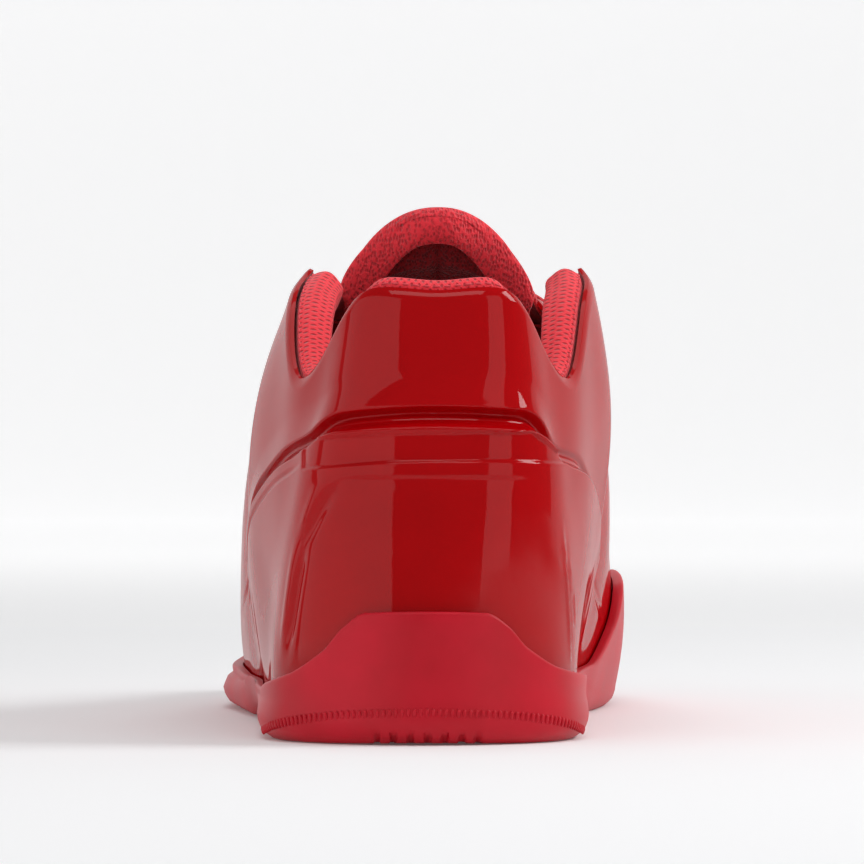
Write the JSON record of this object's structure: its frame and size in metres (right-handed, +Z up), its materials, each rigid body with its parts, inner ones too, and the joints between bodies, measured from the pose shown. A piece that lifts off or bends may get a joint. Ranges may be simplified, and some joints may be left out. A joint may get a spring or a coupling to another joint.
{
  "type": "basketball shoe",
  "caption": "Left low-top basketball shoe: a moulded patent shell with a stepped heel counter on a rubber cup sole, padded knit collar and tongue, lace crossings.",
  "frame": {"origin": "on the ground, at the middle of the shoe's box", "axes": "+Z up, +Y from heel to toe, +X to the inner side of this left shoe"},
  "size_m": [0.1128, 0.2986, 0.1387],
  "materials": {
    "rubber": "satin moulded rubber, crimson",
    "insole": "woven sock liner, red",
    "patent": "high-gloss patent shell, deep red",
    "knit": "padded knit, coral red",
    "lace": "woven lace, coral red"
  },
  "bodies": {
    "root": {"sole": "rubber", "insole": "insole", "upper": "patent", "collar_pad": "knit", "tongue": "knit", "lace_bar": "lace", "lace_cross_1": "lace", "lace_cross_2": "lace", "lace_cross_3": "lace", "lace_cross_4": "lace", "lace_cross_5": "lace"}
  },
  "joints": []
}
